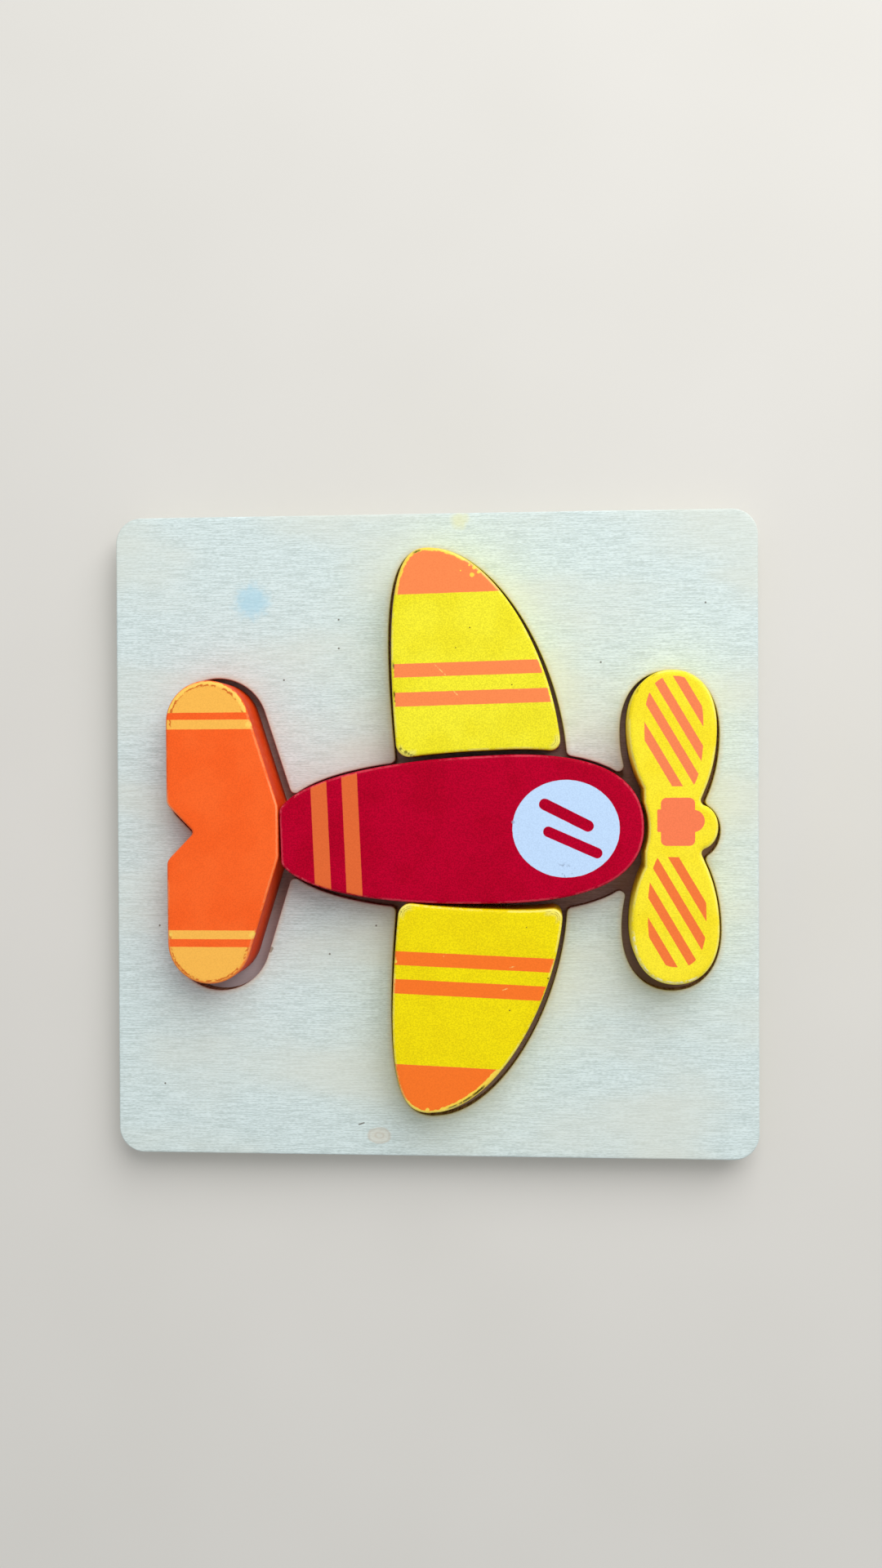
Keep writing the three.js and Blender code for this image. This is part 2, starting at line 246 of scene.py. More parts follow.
# %% Wires between nodes
class Wire:
    """One output socket. Arithmetic on it adds Math nodes to its tree."""

    def __init__(self, tree, socket):
        self.tree = tree
        self.socket = socket

    @classmethod
    def node(cls, tree, kind, settings=None, inputs=None, output=0):
        """Adds a node of any kind: its settings first, then the value, wire or wires of each socket."""
        made = tree.nodes.new(kind)
        for key, value in (settings or {}).items():
            setattr(made, key, value)
        for key, value in (inputs or {}).items():
            for one in value if isinstance(value, list) else [value]:
                if isinstance(one, Wire):
                    tree.links.new(one.socket, made.inputs[key])
                else:
                    made.inputs[key].default_value = one
        return cls(tree, made.outputs[output])

    def sibling(self, output):
        """Another output of the same node."""
        return Wire(self.tree, self.socket.node.outputs[output])

    def math(self, operation, *values):
        """A Math node that works on these values."""
        inputs = dict(enumerate(values))
        return Wire.node(self.tree, "ShaderNodeMath", {"operation": operation}, inputs)

    def __add__(self, other):
        return self.math("ADD", self, other)

    def __radd__(self, other):
        return self.math("ADD", other, self)

    def __sub__(self, other):
        return self.math("SUBTRACT", self, other)

    def __rsub__(self, other):
        return self.math("SUBTRACT", other, self)

    def __mul__(self, other):
        return self.math("MULTIPLY", self, other)

    def __rmul__(self, other):
        return self.math("MULTIPLY", other, self)

    def __truediv__(self, other):
        return self.math("DIVIDE", self, other)

    def __pow__(self, other):
        return self.math("POWER", self, other)

    def __abs__(self):
        return self.math("ABSOLUTE", self)

    def __lt__(self, other):
        return self.math("LESS_THAN", self, other)

    def __gt__(self, other):
        return self.math("GREATER_THAN", self, other)

    def least(self, other):
        return self.math("MINIMUM", self, other)

    def most(self, other):
        return self.math("MAXIMUM", self, other)

    def root(self):
        return self.math("SQRT", self)

    def split(self):
        """The three parts of a vector."""
        x = Wire.node(self.tree, "ShaderNodeSeparateXYZ", inputs={0: self})
        return x, x.sibling(1), x.sibling(2)


# %% [markdown]
# ## From sheet to board
# All seven pieces follow one rule: a sheet is raised to a board, and its edges are rounded over. Geometry
# Nodes suit a rule like this, because one tree with named inputs makes every board. The sheet is raised in
# three lifts, so that a ring of points just below the rounding keeps the wall's shading flat. Then each
# point of the top goes down, and each point of the bottom up, by the drop of a quarter circle over `rim`.

# %% The rounded board tree
TOUCHING = 1e-6
WALL_GUARD_MM = 0.4


def rounded_board_tree():
    """The tree that raises a sheet to a board and rounds its edges."""
    tree = bpy.data.node_groups.new("rounded_board", "GeometryNodeTree")
    tree.interface.new_socket("Sheet", in_out="INPUT", socket_type="NodeSocketGeometry")
    for label in ("Bottom", "Thickness", "Edge round"):
        tree.interface.new_socket(label, in_out="INPUT", socket_type="NodeSocketFloat")
    tree.interface.new_socket("Finish", in_out="INPUT", socket_type="NodeSocketMaterial")
    tree.interface.new_socket("Board", in_out="OUTPUT", socket_type="NodeSocketGeometry")

    sheet = Wire.node(tree, "NodeGroupInput")
    bottom, thickness, edge_round, finish = (sheet.sibling(k) for k in (1, 2, 3, 4))
    guard = edge_round + WALL_GUARD_MM * MM
    raised = sheet
    chosen = True
    for lift in (guard, thickness - 2 * guard, guard):
        sockets = {"Mesh": raised, "Selection": chosen, "Offset Scale": lift, "Individual": False}
        sockets["Offset"] = Wire.node(tree, "ShaderNodeCombineXYZ", inputs={"Z": 1.0})
        raised = Wire.node(tree, "GeometryNodeExtrudeMesh", {"mode": "FACES"}, sockets)
        chosen = raised.sibling("Top")
    underside = Wire.node(tree, "GeometryNodeFlipFaces", inputs={"Mesh": sheet})
    both = Wire.node(tree, "GeometryNodeJoinGeometry", inputs={"Geometry": [raised, underside]})
    closed = Wire.node(
        tree, "GeometryNodeMergeByDistance", inputs={"Geometry": both, "Distance": TOUCHING}
    )

    named = {"data_type": "FLOAT"}
    rim = Wire.node(tree, "GeometryNodeInputNamedAttribute", named, {"Name": "rim"})
    reach = (edge_round - rim * MM).most(0)
    drop = edge_round - (edge_round * edge_round - reach * reach).most(0).root()
    height = Wire.node(tree, "GeometryNodeInputPosition").split()[2]
    upwards = (height < TOUCHING) - (height > thickness - TOUCHING)
    shift = Wire.node(tree, "ShaderNodeCombineXYZ", inputs={"Z": bottom + drop * upwards})
    shaped = Wire.node(tree, "GeometryNodeSetPosition", inputs={"Geometry": closed, "Offset": shift})

    smooth = Wire.node(tree, "GeometryNodeSetShadeSmooth", inputs={"Geometry": shaped})
    real = Wire.node(tree, "GeometryNodeRealizeInstances", inputs={"Geometry": smooth})
    painted = Wire.node(
        tree, "GeometryNodeSetMaterial", inputs={"Geometry": real, "Material": finish}
    )
    leave = tree.nodes.new("NodeGroupOutput")
    tree.links.new(painted.socket, leave.inputs[0])
    return tree


BOARD_TREE = rounded_board_tree()
print("rounded board tree:", len(BOARD_TREE.nodes), "nodes")

# %% [markdown]
# A modifier's inputs are set by their identifiers before the object is first evaluated. The evaluated result
# becomes a plain mesh, because the export keeps meshes and not modifiers, and its volume shows that the
# board is closed and that its faces point outwards.

# %% Make a board from a CAD node
def make_board(name, node, finish, edge_round, grid):
    """A rounded board that takes its outline, its place and its thickness from a CAD node."""
    lines = [smooth_line(corners, OUTLINE_SPACING_MM) for corners in sawn_outlines(node)]
    sheet = flat_sheet(name + "_sheet", lines, edge_round, grid)
    bpy.context.scene.collection.objects.link(sheet)
    low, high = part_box(node)
    values = {
        "Bottom": low.z,
        "Thickness": high.z - low.z,
        "Edge round": edge_round * MM,
        "Finish": finish,
    }
    modifier = sheet.modifiers.new("rounded board", "NODES")
    modifier.node_group = BOARD_TREE
    for item in BOARD_TREE.interface.items_tree:
        if item.in_out == "INPUT" and item.name in values:
            modifier[item.identifier] = values[item.name]
    evaluated = sheet.evaluated_get(bpy.context.evaluated_depsgraph_get())
    mesh = bpy.data.meshes.new_from_object(evaluated)
    sheet.modifiers.remove(modifier)
    bpy.data.objects.remove(sheet)
    board = bpy.data.objects.new(name, mesh)
    bpy.context.scene.collection.objects.link(board)
    check = bmesh.new()
    check.from_mesh(mesh)
    volume = check.calc_volume(signed=True) / MM**3
    open_edges = sum(not edge.is_manifold for edge in check.edges)
    check.free()
    print(f"{name}: {len(mesh.polygons)} faces, {volume:.0f} cubic mm, {open_edges} open edges")
    return board


# %% [markdown]
# ## Colours, masks and noise
# A print is a colour and a mask: a number from 0 to 1 that says how much ink lies at a point. Masks are made
# of distances in millimetres, so a band 3 mm wide is written as 3. Object coordinates are right for this,
# because every piece's object sits at the origin of the frame.

# %% Helpers for every finish
PRINT_SOFT_MM = 0.06


def srgb(red, green, blue):
    """A colour as a paint chart gives it, 0 to 255, turned into the linear values that a shader takes."""
    shares = [value / 255 for value in (red, green, blue)]
    linear = [s / 12.92 if s <= 0.04045 else ((s + 0.055) / 1.055) ** 2.4 for s in shares]
    return (*linear, 1.0)


def start_finish(name):
    """A new material with its coordinates in millimetres and the distance from the sawn edge."""
    material = bpy.data.materials.new(name)
    material.use_nodes = True
    tree = material.node_tree
    place = Wire.node(tree, "ShaderNodeTexCoord", output="Object")
    mm = Wire.node(tree, "ShaderNodeMapping", inputs={"Vector": place, "Scale": (1 / MM,) * 3})
    x, y, z = mm.split()
    rim = Wire.node(tree, "ShaderNodeAttribute", {"attribute_name": "rim"}, output="Fac")
    return SimpleNamespace(material=material, tree=tree, mm=mm, x=x, y=y, z=z, rim=rim)


def step(value, low, high):
    """0 below low, 1 above high, and a smooth rise between them."""
    settings = {"interpolation_type": "SMOOTHSTEP"}
    inputs = {"Value": value, "From Min": low, "From Max": high}
    return Wire.node(value.tree, "ShaderNodeMapRange", settings, inputs)


def past(value, edge):
    """0 below an edge and 1 above it, as sharp as a print."""
    return step(value, edge - PRINT_SOFT_MM, edge + PRINT_SOFT_MM)


def band(value, low, high, soft=PRINT_SOFT_MM):
    """1 between low and high, with soft edges."""
    return step(value, low - soft, low + soft) * (1 - step(value, high - soft, high + soft))


def inside(distance, soft=PRINT_SOFT_MM):
    """1 where a distance from a shape's edge is negative."""
    return 1 - step(distance, -soft, soft)


def blend(below, above, mask):
    """One colour over another, by a mask."""
    inputs = {0: mask, 6: below, 7: above}
    return Wire.node(mask.tree, "ShaderNodeMix", {"data_type": "RGBA"}, inputs, output=2)


def shade(colour, factor):
    """A colour made lighter or darker by a factor."""
    settings = {"data_type": "RGBA", "blend_type": "MULTIPLY"}
    return Wire.node(colour.tree, "ShaderNodeMix", settings, {0: 1.0, 6: colour, 7: factor}, output=2)


def most_of(masks):
    """The strongest of several masks."""
    masks = iter(masks)
    strongest = next(masks)
    for mask in masks:
        strongest = strongest.most(mask)
    return strongest


def mottle(s, size, stretch=(1, 1, 1), detail=2.0, shift=0.0):
    """Noise with blotches of about size millimetres, longer along an axis by that axis's stretch."""
    inputs = {
        "Vector": s.mm,
        "Location": (shift, shift, shift),
        "Scale": tuple(1 / (size * part) for part in stretch),
    }
    where = Wire.node(s.tree, "ShaderNodeMapping", inputs=inputs)
    return Wire.node(s.tree, "ShaderNodeTexNoise", inputs={"Vector": where, "Scale": 1, "Detail": detail})


def from_point(s, x, y, wide=1.0, high=1.0):
    """Distance from a point, in units of wide across and high along."""
    across = (s.x - x) / wide
    along = (s.y - y) / high
    return (across * across + along * along).root()


def from_bar(s, start, end):
    """Distance from a straight line between two points."""
    run = (end[0] - start[0], end[1] - start[1])
    length2 = run[0] ** 2 + run[1] ** 2
    across = s.x - start[0]
    along = s.y - start[1]
    share = ((across * run[0] + along * run[1]) / length2).most(0).least(1)
    gap_x = across - share * run[0]
    gap_y = along - share * run[1]
    return (gap_x * gap_x + gap_y * gap_y).root()


def from_box(s, left, right, low, high, corner):
    """Distance from a box with rounded corners."""
    across = (abs(s.x - (left + right) / 2) - (right - left) / 2 + corner).most(0)
    along = (abs(s.y - (low + high) / 2) - (high - low) / 2 + corner).most(0)
    return (across * across + along * along).root() - corner


print("a chart's middle grey is", round(srgb(128, 128, 128)[0], 3), "in linear light")

# %% [markdown]
# ## The paint itself
# Every loose piece has the same satin paint, sprayed thick enough to show a fine orange peel. Hands and
# neighbours have rubbed the rounded edges, and the pale rubbed colour there is also a painted highlight along
# them. One function gives this to any colour. It takes the prints as a list of inks and masks, each laid over
# the last, so that each piece only says what is printed on it.

# %% Satin paint with prints
PIECE_TOP_MM = 18.0
PRINT_ENDS_MM = 0.75
PRINT_FULL_MM = 0.45
PEEL_SIZE_MM = 0.32
PEEL_DEPTH = 0.00006
PRINT_TONE = 0.1
SPECK_BROWN = srgb(118, 98, 30)


def paint_ground(s):
    """The noises that all of a piece's paint shares, and the mask of its printed top face."""
    s.peel = mottle(s, PEEL_SIZE_MM, detail=2.0)
    s.cloud = mottle(s, 9.0, detail=2.0, shift=3.7)
    s.ragged = mottle(s, 0.8, detail=4.0, shift=11.3) - 0.5
    s.drift = mottle(s, 4.5, detail=2.0, shift=5.1) - 0.5
    s.top = step(s.z, PIECE_TOP_MM - PRINT_ENDS_MM, PIECE_TOP_MM - PRINT_FULL_MM)


def spots(s, places, soft=PRINT_SOFT_MM):
    """1 inside ragged round spots, each given by its place and its radius."""
    return most_of(inside(from_point(s, x, y) + s.ragged * size * 0.9 - size, soft) for x, y, size in places)


def scratches(s, lines, width):
    """1 on thin straight lines, each given by its two ends, that fade where the paint is high."""
    marks = most_of(inside(from_bar(s, start, end) - width, 0.05) for start, end in lines)
    return marks * step(s.ragged, -0.12, 0.1)


def paint_piece(s, light, deep, prints, worn, rubbing_and_highlight, peel_tone, gloss):
    """Joins paint, prints, and edge wear with a painted highlight into one satin coat."""
    colour = blend(deep, light, step(s.cloud, 0.36, 0.62))
    speckle = step(s.peel, 0.32, 0.68) - 0.5
    colour = shade(colour, 1 + peel_tone * speckle)
    for ink, mask in prints:
        colour = blend(colour, ink, mask * s.top)
    # The pale colour on the rounded edges is rubbed wear and also a painted highlight along them.
    edge = band(s.rim + s.ragged * 0.5, 0.12, 0.5, 0.16)
    rubbed_and_highlight = edge * step(s.cloud + s.ragged * 0.5, 0.4, 0.58) * rubbing_and_highlight
    colour = blend(colour, worn, rubbed_and_highlight)
    colour = shade(colour, 1 + PRINT_TONE * speckle)
    relief = s.peel * 0.75 + mottle(s, 0.25, detail=1.0, shift=7.7) * 0.25
    bump = {"Height": relief, "Strength": 0.5, "Distance": PEEL_DEPTH}
    inputs = {
        "Base Color": colour,
        "Roughness": 0.4 + 0.16 * s.cloud + 0.1 * rubbed_and_highlight,
        "Specular IOR Level": gloss,
        "Normal": Wire.node(s.tree, "ShaderNodeBump", inputs=bump),
    }
    connect(s, inputs)


def connect(s, inputs):
    """Sets the sockets of a finish's own shader."""
    shader = s.tree.nodes["Principled BSDF"]
    for key, value in inputs.items():
        if isinstance(value, Wire):
            s.tree.links.new(value.socket, shader.inputs[key])
        else:
            shader.inputs[key].default_value = value


print("orange peel:", PEEL_SIZE_MM, "mm wide and", round(PEEL_DEPTH / MM, 2), "mm deep")

# %% [markdown]
# ## The wings
# Both wings are yellow with two orange bands and an orange tip, printed on the top face only. The bands lean
# a little, because the printing stencil never sits quite square. The tip's ink has rubbed off along the
# rounded edge, so that a border of yellow shows round it, wider on one side than on the other. The corners
# beside the fuselage are rubbed pale, with fine brown lines that follow the edge, and the wood shows dark
# where the paint is nicked or bared.

# %% Paint a wing
# Pale edge colour: rubbed wear and a painted highlight.
YELLOW_WORN_AND_HIGHLIGHT = srgb(253, 242, 138)
BORDER_YELLOW = srgb(253, 216, 78)
CORNER_PALE = srgb(253, 246, 146)
NICK_OLIVE = srgb(88, 80, 14)
RUB_BROWN = srgb(150, 128, 42)
SCRATCH_YELLOW = srgb(255, 196, 112)
SCRATCH_RADIUS_MM = 0.12
RUB_LINES_MM = (0.5, 0.95, 1.4)
RUB_LINE_WIDTH_MM = 0.16
BORDER_CHANGE_MM = 0.7


def border_width(s, first, changes):
    """How far the ink has worn back from the edge, with the places along X where that changes."""
    width = first
    for x, change in changes:
        width = width + change * step(s.x, x - BORDER_CHANGE_MM, x + BORDER_CHANGE_MM)
    return width


def wing_finish(name, wing):
    """Yellow paint with the bands, the tip and the wear of one wing."""
    s = start_finish(name)
    paint_ground(s)
    level = (s.y - wing.lean * s.x + s.drift * 0.1 + s.ragged * 0.09) * wing.outwards
    tip = past(level, wing.tip)
    worn_to = s.rim + s.ragged * 0.8 + s.drift * 0.3
    kept_tip = step(worn_to - border_width(s, *wing.border), -0.1, 0.1)
    kept_band = step(s.rim + s.ragged * 0.7 - border_width(s, *wing.band_gap), -0.1, 0.1)
    bands = most_of(band(level, low, high) for low, high in wing.bands)
    corners = spots(s, wing.corners, 0.8) * (1 - step(s.rim + s.ragged * 0.8, 0.9, 1.8))
    near_edge = s.rim + s.ragged * 0.3
    lines = most_of(band(near_edge, low, low + RUB_LINE_WIDTH_MM, 0.08) for low in RUB_LINES_MM)
    bared = band(near_edge, 0.25, 0.7, 0.1) * step(s.drift + s.ragged * 0.8, -0.2, -0.05)
    prints = [
        (wing.ink, bands * kept_band),
        (BORDER_YELLOW, tip),
        (wing.ink, tip * kept_tip),
        (BORDER_YELLOW, spots(s, wing.chips)),
        (SCRATCH_YELLOW, scratches(s, wing.scratches, SCRATCH_RADIUS_MM) * bands),
        (CORNER_PALE, corners * 0.4),
        (RUB_BROWN, corners * lines * step(s.ragged, -0.14, 0.04) * 0.7),
        (NICK_OLIVE, spots(s, wing.bared, 0.6) * bared),
        (NICK_OLIVE, spots(s, wing.nicks, 0.15) * 0.75),
        (SPECK_BROWN, spots(s, wing.specks, 0.08) * 0.95),
    ]
    paint_piece(s, wing.light, wing.deep, prints, YELLOW_WORN_AND_HIGHLIGHT, rubbing_and_highlight=0.55, peel_tone=0.14, gloss=0.12)
    return s.material


LEFT_WING = SimpleNamespace(
    light=srgb(245, 234, 44),
    deep=srgb(240, 227, 34),
    ink=srgb(254, 138, 78),
    lean=0.0242,
    bands=[(36.4, 39.5), (29.8, 33.0)],
    tip=55.2,
    outwards=1,
    border=(0.75, [(8.0, -0.6)]),
    band_gap=(0.6, [(10.0, -0.15)]),
    chips=[(9.8, 59.3, 0.5), (11.3, 59.9, 0.35), (10.3, 60.9, 0.4), (9.2, 61.5, 0.25), (7.2, 60.3, 0.15)],
    scratches=[((1.2, 39.1), (4.0, 36.5)), ((5.5, 33.1), (6.5, 32.1)), ((19.6, 33.9), (20.4, 33.2))],
    corners=[(-5.2, 19.3, 2.0), (29.2, 21.0, 1.9)],
    bared=[(-2.9, 65.1, 0.9), (-8.0, 38.9, 0.6), (-8.0, 37.2, 0.5), (-8.0, 32.4, 0.6), (-7.8, 30.6, 0.5)],
    nicks=[
        (-6.6, 20.1, 0.3),
        (-5.4, 19.35, 0.4),
        (-4.75, 18.95, 0.25),
        (-4.2, 18.6, 0.3),
        (-3.65, 18.3, 0.3),
    ],
    specks=[(9.25, 47.4, 0.19), (6.0, 42.9, 0.14), (18.7, 34.4, 0.14)],
)
RIGHT_WING = SimpleNamespace(
    light=srgb(245, 223, 0),
    deep=srgb(241, 217, 0),
    ink=srgb(254, 120, 38),
    lean=-0.045,
    bands=[(26.2, 29.35), (32.55, 35.85)],
    tip=51.9,
    outwards=-1,
    border=(0.12, [(-5.6, 0.5), (2.0, 0.55)]),
    band_gap=(0.1, [(10.0, 0.15)]),
    chips=[(-0.8, -61.9, 0.45), (-8.0, -28.2, 0.4)],
    scratches=[((3.0, -27.0), (3.7, -26.2)), ((18.0, -29.5), (19.6, -29.0)), ((16.4, -34.6), (17.4, -34.2))],
    corners=[(28.2, -16.9, 2.2), (-6.0, -16.4, 1.8)],
    bared=[(11.0, -57.6, 1.8), (8.0, -60.1, 1.9), (5.2, -61.7, 1.4)],
    nicks=[(-6.6, -16.9, 0.15)],
    specks=[(21.8, -20.4, 0.16), (26.6, -31.9, 0.19), (17.9, -39.2, 0.18)],
)
LEFT_WING_FINISH = wing_finish("left_wing_paint", LEFT_WING)
RIGHT_WING_FINISH = wing_finish("right_wing_paint", RIGHT_WING)
print("wing finishes:", LEFT_WING_FINISH.name, RIGHT_WING_FINISH.name)

# %% [markdown]
# ## The tailplane
# The tailplane is orange, with pale tips and a pale stripe inside each. Its sides are painted a deeper orange
# as painted shade. A little inside the rounded edge of the tips the pale ink has cracked along a ragged
# broken
# line, and the darker coat below shows. Outside that line the rounding is painted by how light falls on it:
# yellow on the left tip as a painted highlight, and orange on the right one as painted shade.

# %% Paint the tailplane
TAIL_LIGHT = srgb(255, 103, 36)
TAIL_DEEP = srgb(252, 97, 30)
# The sides get this deeper orange as painted shade.
TAIL_SIDE_SHADE = srgb(228, 64, 2)
# Pale edge colour: rubbed wear and a painted highlight.
TAIL_WORN_AND_HIGHLIGHT = srgb(255, 158, 100)
TIP_PALE = srgb(254, 188, 80)
# Pale yellow of the stripe ends, and a painted highlight on the left tip's rounding.
TIP_YELLOW_AND_HIGHLIGHT = srgb(255, 208, 94)
# Painted shade on the right tip's rounding.
TIP_RIM_SHADE = srgb(250, 132, 52)
TIP_CRACK = srgb(210, 92, 24)
# Painted highlight: a peach line along the rounded edge near two corners.
PEACH_HIGHLIGHT = srgb(255, 170, 120)
LEFT_TIP_MM = 28.61
RIGHT_TIP_MM = -25.1
TAIL_STRIPES_MM = [(24.8, 27.0), (-23.3, -21.3)]
STRIPE_ENDS = [(-41.4, 25.9, 0.75), (-40.8, -22.3, 0.75), (-59.9, -22.2, 0.45)]
TAIL_HIGHLIGHT_SPOTS = [(-37.0, 8.5, 5.0), (-60.0, 8.0, 2.0)]


def tail_finish():
    """Orange paint with pale tips, stripes and cracks, and painted highlight and shade on rims and sides."""
    s = start_finish("tailplane_paint")
    paint_ground(s)
    level = s.y + s.drift * 0.08 + s.ragged * 0.1
    tips = past(level, LEFT_TIP_MM) + (1 - past(level, RIGHT_TIP_MM))
    stripes = most_of(band(level, low, high) for low, high in TAIL_STRIPES_MM)
    kept = step(s.rim + s.ragged * 0.6, 0.1, 0.35)
    left_side = step(s.y, -1.0, 1.0)
    right_side = 1 - left_side
    inwards = s.rim + s.drift * 0.6 + s.ragged * 1.2 + 0.35 * right_side
    broken = step(s.drift * 0.8 + s.ragged * 0.8, -0.12, 0.02)
    crack = band(inwards, 0.9, 1.32, 0.1) * broken
    cracked = tips + stripes * (1 - step(s.x, -58.0, -57.0))
    # Painted highlight: the left tip's rounding is painted yellow where light falls on it.
    outer = 1 - step(s.rim + s.ragged * 0.5, 0.85, 1.1)
    # Painted shade: the right tip's rounding is painted orange where it faces away from the light.
    shaded_rim = tips * right_side * (1 - step(s.rim + s.ragged * 0.7 + s.drift * 0.5, 0.25, 0.6))
    # Painted highlight along the rounding near the corners.
    highlight_line = band(s.rim + s.ragged * 0.3, 0.15, 0.45, 0.12)
    prints = [
        (TIP_PALE, (tips + stripes) * kept),
        (TIP_YELLOW_AND_HIGHLIGHT, tips * left_side * outer * kept),
        (TIP_RIM_SHADE, shaded_rim * 0.8),
        (TIP_CRACK, cracked * crack * 0.85),
        (TIP_YELLOW_AND_HIGHLIGHT, stripes * spots(s, STRIPE_ENDS, 0.25)),
        (PEACH_HIGHLIGHT, highlight_line * spots(s, TAIL_HIGHLIGHT_SPOTS, 2.0) * 0.6),
    ]
    # Painted shade: below the top face the sides are a deeper orange.
    light = blend(TAIL_SIDE_SHADE, TAIL_LIGHT, s.top)
    deep = blend(TAIL_SIDE_SHADE, TAIL_DEEP, s.top)
    paint_piece(s, light, deep, prints, TAIL_WORN_AND_HIGHLIGHT, rubbing_and_highlight=0.5, peel_tone=0.04, gloss=0.14)
    return s.material


TAIL_FINISH = tail_finish()
print("tailplane finish:", len(TAIL_FINISH.node_tree.nodes), "nodes")

# %% [markdown]
# ## The fuselage
# The fuselage is deep red. Two orange bands cross it near the tail, and a round white window with two
# glints lies behind the nose. All of these are common toy motifs, made here from bands, an ellipse and two
# round-ended bars. The corners at the rear end are knocked pale, and the window has picked up grey specks.

# %% Paint the fuselage
FUSELAGE_LIGHT = srgb(185, 0, 42)
FUSELAGE_DEEP = srgb(177, 0, 37)
# Pale edge colour: rubbed wear and a painted highlight.
FUSELAGE_WORN_AND_HIGHLIGHT = srgb(224, 80, 98)
BAND_ORANGE = srgb(230, 106, 54)
WINDOW_WHITE = srgb(196, 222, 252)
GRIME_GREY = srgb(120, 130, 152)
SCUFF_GREY = srgb(150, 160, 190)
CHIP_PINK = srgb(228, 122, 128)
BAND_SLANT = 0.042
FUSELAGE_BANDS_MM = [(-26.8, -23.1), (-19.6, -16.0)]
WINDOW = {"x": 30.75, "y": 1.9, "wide": 12.05, "high": 11.0}
WINDOW_RADIUS_MM = 11.5
GLINTS = [((26.0, 7.4), (35.7, 2.5), 1.3), ((26.8, 1.2), (37.7, -3.6), 1.2)]
SCUFFS = [(18.9, 3.4, 0.35)]
REAR_KNOCKS = [(-33.2, 6.6, 1.5), (-32.4, -5.8, 1.6), (-28.8, -8.6, 1.2), (-30.0, 9.6, 1.0)]


def fuselage_finish():
    """Red paint with two bands, the window with its glints, and the knocked rear end."""
    s = start_finish("fuselage_paint")
    paint_ground(s)
    slanted = s.x + BAND_SLANT * s.y + s.drift * 0.08 + s.ragged * 0.08
    bands = most_of(band(slanted, low, high) for low, high in FUSELAGE_BANDS_MM)
    kept = step(s.rim + s.ragged * 0.6, 0.15, 0.4)
    window = inside((from_point(s, **WINDOW) - 1) * WINDOW_RADIUS_MM + s.ragged * 0.15)
    glints = most_of(
        inside(from_bar(s, start, end) - radius + s.ragged * 0.12) for start, end, radius in GLINTS
    )
    white = window * (1 - glints)
    grime = step(mottle(s, 0.8, detail=1.0, shift=41.0), 0.62, 0.68)
    low_marks = grime * inside(from_point(s, 30.2, -7.6, wide=1.5) - 1.5, 0.8)
    chipped = band(s.rim + s.ragged * 0.6, 0.25, 0.6, 0.15) * step(s.ragged, -0.04, 0.14)
    prints = [
        (BAND_ORANGE, bands * kept),
        (WINDOW_WHITE, white),
        (GRIME_GREY, white * low_marks * 0.6),
        (SCUFF_GREY, spots(s, SCUFFS, 0.15) * 0.7),
        (CHIP_PINK, spots(s, REAR_KNOCKS, 0.8) * chipped * 0.85),
    ]
    paint_piece(
        s, FUSELAGE_LIGHT, FUSELAGE_DEEP, prints, FUSELAGE_WORN_AND_HIGHLIGHT, rubbing_and_highlight=0.55, peel_tone=0.28, gloss=0.03
    )
    return s.material


FUSELAGE_FINISH = fuselage_finish()
print("fuselage finish:", len(FUSELAGE_FINISH.node_tree.nodes), "nodes")

# %% [markdown]
# ## The propeller
# The propeller is yellow. Slanted orange bars cross each blade, cut off by a window that is rounder than
# the blade, and a small orange badge lies on the hub. One function draws the bars of both blades, from the
# sizes of each. The lower blade's outer edge is scuffed pale.

# %% Paint the propeller
PROPELLER_LIGHT = srgb(254, 233, 46)
PROPELLER_DEEP = srgb(250, 226, 34)
SCUFF_CREAM = srgb(253, 248, 204)
UPPER_INK = srgb(250, 133, 82)
LOWER_INK = srgb(248, 122, 57)
BADGE_INK = srgb(252, 127, 81)
BAR_SLANT = math.radians(59.5)
BAR_WIDTH_MM = 2.1
WINDOW_POWER = 2.5
HUB_STRETCH = 1.18
UPPER_BLADE = SimpleNamespace(
    bars=(52.7, 57.05, 61.15, 65.45),
    centre=(54.9, 24.6),
    half_width=6.55,
    tip_reach=11.5,
    hub_reach=13.25,
    outwards=1,
)
LOWER_BLADE = SimpleNamespace(
    bars=(31.0, 35.35, 39.65, 43.8),
    centre=(55.5, -18.0),
    half_width=6.5,
    tip_reach=11.2,
    hub_reach=13.5,
    outwards=-1,
)
LOW_EDGE = [(46.0, -24.0, 2.4), (48.2, -29.6, 2.6), (52.5, -32.2, 2.2), (57.5, -32.0, 2.4)]
TOP_EDGE = [(47.2, 34.0, 1.6), (49.6, 36.6, 1.4), (45.4, 17.0, 1.8), (45.6, -15.0, 1.8)]
PROPELLER_SPECKS = [(47.3, 33.6, 0.12), (49.4, 37.0, 0.1), (46.9, -17.4, 0.12)]


def blade_bars(s, blade):
    """Slanted bars on one blade, inside an egg-shaped window with a straight cut towards the hub."""
    slanted = s.x * math.sin(BAR_SLANT) + s.y * math.cos(BAR_SLANT) + s.ragged * 0.08
    bars = most_of(band(slanted, start, start + BAR_WIDTH_MM) for start in blade.bars)
    across = abs(s.x - blade.centre[0]) / blade.half_width
    out = (s.y - blade.centre[1]) * blade.outwards
    along = (out / blade.tip_reach).most(out / -(blade.hub_reach * HUB_STRETCH)).most(0)
    egg = (across**WINDOW_POWER + along**WINDOW_POWER) ** (1 / WINDOW_POWER)
    window = inside((egg - 1) * blade.half_width + s.ragged * 0.1)
    return bars * window * past(out + s.ragged * 0.1, -blade.hub_reach)


